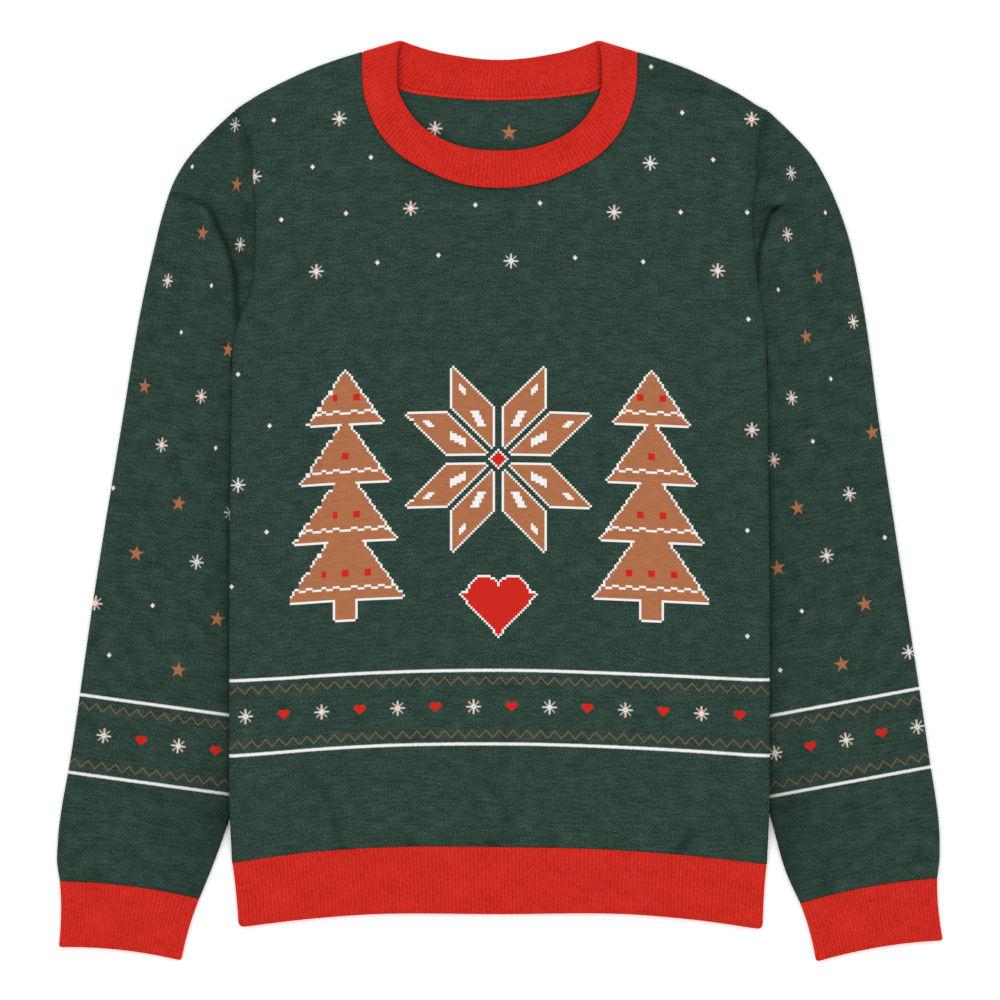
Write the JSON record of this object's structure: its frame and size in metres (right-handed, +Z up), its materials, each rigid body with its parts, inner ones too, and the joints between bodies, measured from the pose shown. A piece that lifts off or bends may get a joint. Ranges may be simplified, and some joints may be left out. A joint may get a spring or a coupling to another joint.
{
  "type": "christmas sweater",
  "caption": "Green knitted sweater laid flat, with red ribbed neckband, cuffs and hem, scattered snowflakes, stars and hearts, and a folk pattern of a star between fir trees.",
  "frame": {"origin": "on the surface that the sweater lies on, under the centre of its outline", "axes": "+X to the wearer's left, +Y from the hem towards the neck, +Z up off the surface"},
  "size_m": [0.707, 0.7368, 0.0106],
  "materials": {
    "knit": "matte plain knit, dark green",
    "rib": "matte ribbed knit, red"
  },
  "bodies": {
    "root": {"back_panel": "knit", "front_panel": "knit", "sleeve_right": "knit", "sleeve_left": "knit", "cuff_right": "rib", "cuff_left": "rib", "hem_band": "rib", "neckband": "rib"}
  },
  "joints": []
}
